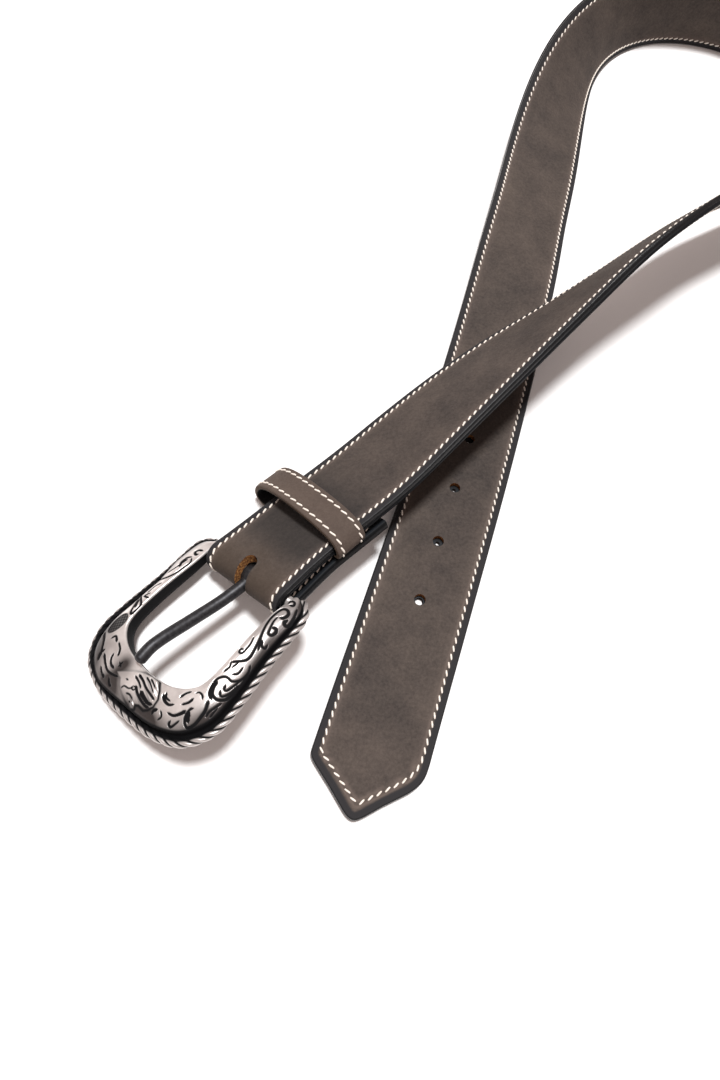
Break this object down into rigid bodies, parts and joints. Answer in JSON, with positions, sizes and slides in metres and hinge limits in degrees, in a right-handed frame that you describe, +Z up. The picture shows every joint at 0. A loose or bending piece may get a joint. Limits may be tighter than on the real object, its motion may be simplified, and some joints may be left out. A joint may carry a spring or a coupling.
{
  "type": "western leather belt with engraved prong buckle",
  "caption": "Leather belt lying unfastened in a loose loop, with a rope-edged cast buckle, prong, keeper and pointed, holed tail.",
  "frame": {"origin": "middle of the bounding box on the surface that the belt lies on", "axes": "+Z up from that surface; +Y from the tail's tip towards the far end of the loop; +X to the side that the loop lies on, seen with the tip towards the viewer"},
  "size_m": [0.308, 0.4786, 0.0565],
  "materials": {
    "face_leather": "matt brown-grey nubuck with near-black painted edges",
    "lining_leather": "smooth near-black lining",
    "cast_metal": "cast, engraved and darkened in the recesses",
    "dark_metal": "dark plated, satin"
  },
  "bodies": {
    "strap": {"strap_outer": "face_leather", "strap_lining": "lining_leather", "keeper": "face_leather"},
    "frame": {"buckle_frame": "cast_metal"},
    "prong": {"prong": "dark_metal"}
  },
  "joints": [
    {"name": "frame_turn", "type": "hinge", "parent": "strap", "child": "frame", "pos_m": [-0.10149, -0.16526, 0.01582], "axis": [-0.7955, 0.5043, -0.3359], "range_deg": [0, 45]},
    {"name": "prong_turn", "type": "hinge", "parent": "frame", "child": "prong", "pos_m": [-0.10149, -0.16526, 0.01582], "axis": [-0.7955, 0.5043, -0.3359], "range_deg": [0, 65]}
  ]
}
